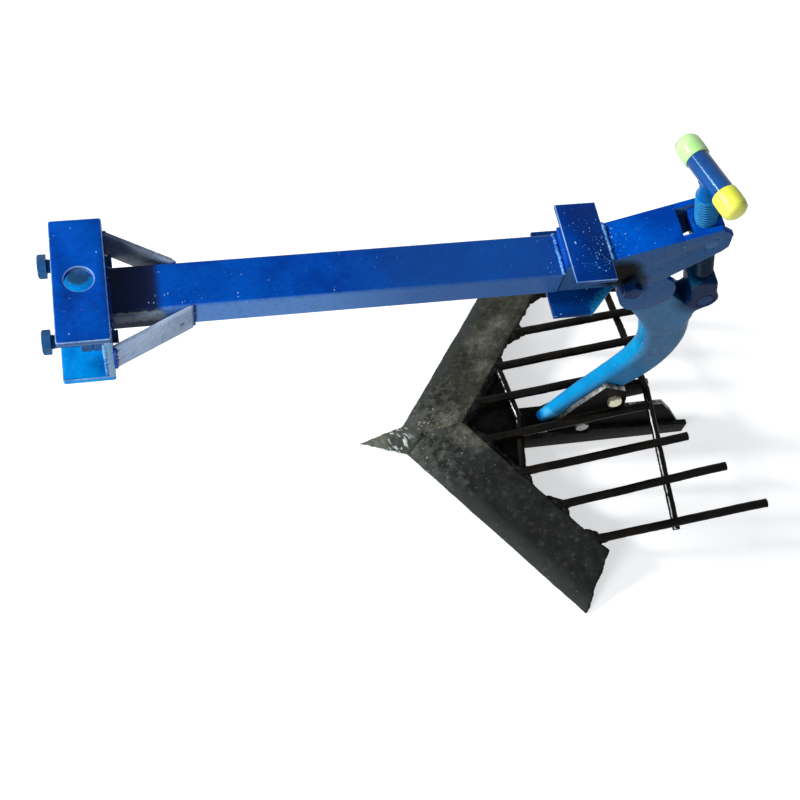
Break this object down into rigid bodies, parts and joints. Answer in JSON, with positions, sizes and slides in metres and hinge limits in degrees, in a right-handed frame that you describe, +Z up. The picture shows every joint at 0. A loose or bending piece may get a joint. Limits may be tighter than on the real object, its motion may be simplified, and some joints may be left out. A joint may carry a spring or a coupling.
{
  "type": "walk-behind tractor potato plough",
  "caption": "Potato-lifting plough for a walk-behind tractor: a tube beam with a pin hitch, a depth screw that tilts a curved shank, and a winged share with a fan of sifting rods.",
  "frame": {"origin": "on the axis of the hitch pin, at the height of the beam's axis", "axes": "+X along the beam to the rear, +Y to the right, +Z up along the hitch pin"},
  "size_m": [0.9598, 0.598, 0.6263],
  "materials": {
    "blue_enamel": "gloss",
    "black_plate": "satin",
    "sifting_rod": "gloss",
    "ground_steel": "ground",
    "dark_steel": "oiled",
    "screw_steel": "oiled",
    "zinc_plate": "plated",
    "yellow_cap": "gloss"
  },
  "bodies": {
    "beam": {"beam_tube": "blue_enamel", "brace_left": "blue_enamel", "brace_right": "blue_enamel", "fork_cover": "blue_enamel", "fork_plate_left": "blue_enamel", "fork_plate_right": "blue_enamel", "hitch_back_plate": "blue_enamel", "hitch_bottom_plate": "blue_enamel", "hitch_top_plate": "blue_enamel", "lock_nut_left": "dark_steel", "lock_nut_right": "dark_steel", "lower_cross_plate": "blue_enamel", "pivot_bolt": "dark_steel", "pivot_nut": "dark_steel", "upper_cross_plate": "blue_enamel", "upper_wedge": "blue_enamel", "weld_nut_left": "dark_steel", "weld_nut_right": "dark_steel"},
    "share": {"foot_bolt_lower": "dark_steel", "foot_bolt_upper": "zinc_plate", "foot_cheek_left": "black_plate", "foot_cheek_right": "black_plate", "foot_nut_lower": "dark_steel", "foot_nut_upper": "dark_steel", "front_cross_rod": "sifting_rod", "rear_cross_rod": "sifting_rod", "rod_left_1": "sifting_rod", "rod_left_2": "sifting_rod", "rod_left_3": "sifting_rod", "rod_left_4": "sifting_rod", "rod_right_1": "sifting_rod", "rod_right_2": "sifting_rod", "rod_right_3": "sifting_rod", "rod_right_4": "sifting_rod", "runner_left": "black_plate", "runner_right": "black_plate", "wing_left": "black_plate", "wing_right": "black_plate", "shank": "blue_enamel", "nose": "ground_steel", "gusset_plate": "black_plate"},
    "swivel": {"swivel_pin": "dark_steel"},
    "screw": {"screw": "screw_steel", "screw_collar": "dark_steel", "handle_bar": "blue_enamel", "handle_cap_left": "yellow_cap", "handle_cap_right": "yellow_cap"},
    "nut": {"screw_nut": "dark_steel"},
    "left_adjuster": {"adjusting_bolt_left": "dark_steel"},
    "right_adjuster": {"adjusting_bolt_right": "dark_steel"}
  },
  "joints": [
    {"name": "handle_spin", "type": "hinge", "parent": "swivel", "child": "screw", "pos_m": [0.774, 0, -0.086], "axis": [-0.3021, 0, 0.9533], "range_deg": [-985, 985]},
    {"name": "share_pitch", "type": "hinge", "parent": "beam", "child": "share", "pos_m": [0.653, 0, -0.028], "axis": [0, 1, 0], "range_deg": [-8, 8]},
    {"name": "nut_swivel", "type": "hinge", "parent": "beam", "child": "nut", "pos_m": [0.729, 0, 0.056], "axis": [0, 1, 0], "range_deg": [-5, 5]},
    {"name": "lower_swivel", "type": "hinge", "parent": "share", "child": "swivel", "pos_m": [0.774, 0, -0.086], "axis": [0, 1, 0], "range_deg": [-3.2, 3.2]},
    {"name": "left_adjuster_slide", "type": "slide", "parent": "beam", "child": "left_adjuster", "axis": [1, 0, 0], "range_m": [-0.01, 0.015]},
    {"name": "right_adjuster_slide", "type": "slide", "parent": "beam", "child": "right_adjuster", "axis": [1, 0, 0], "range_m": [-0.01, 0.015]}
  ],
  "couplings": [
    {"joint": "handle_spin", "follows": "share_pitch", "ratio": -122.93},
    {"joint": "nut_swivel", "follows": "share_pitch", "ratio": 0.61659},
    {"joint": "lower_swivel", "follows": "share_pitch", "ratio": -0.38342}
  ]
}
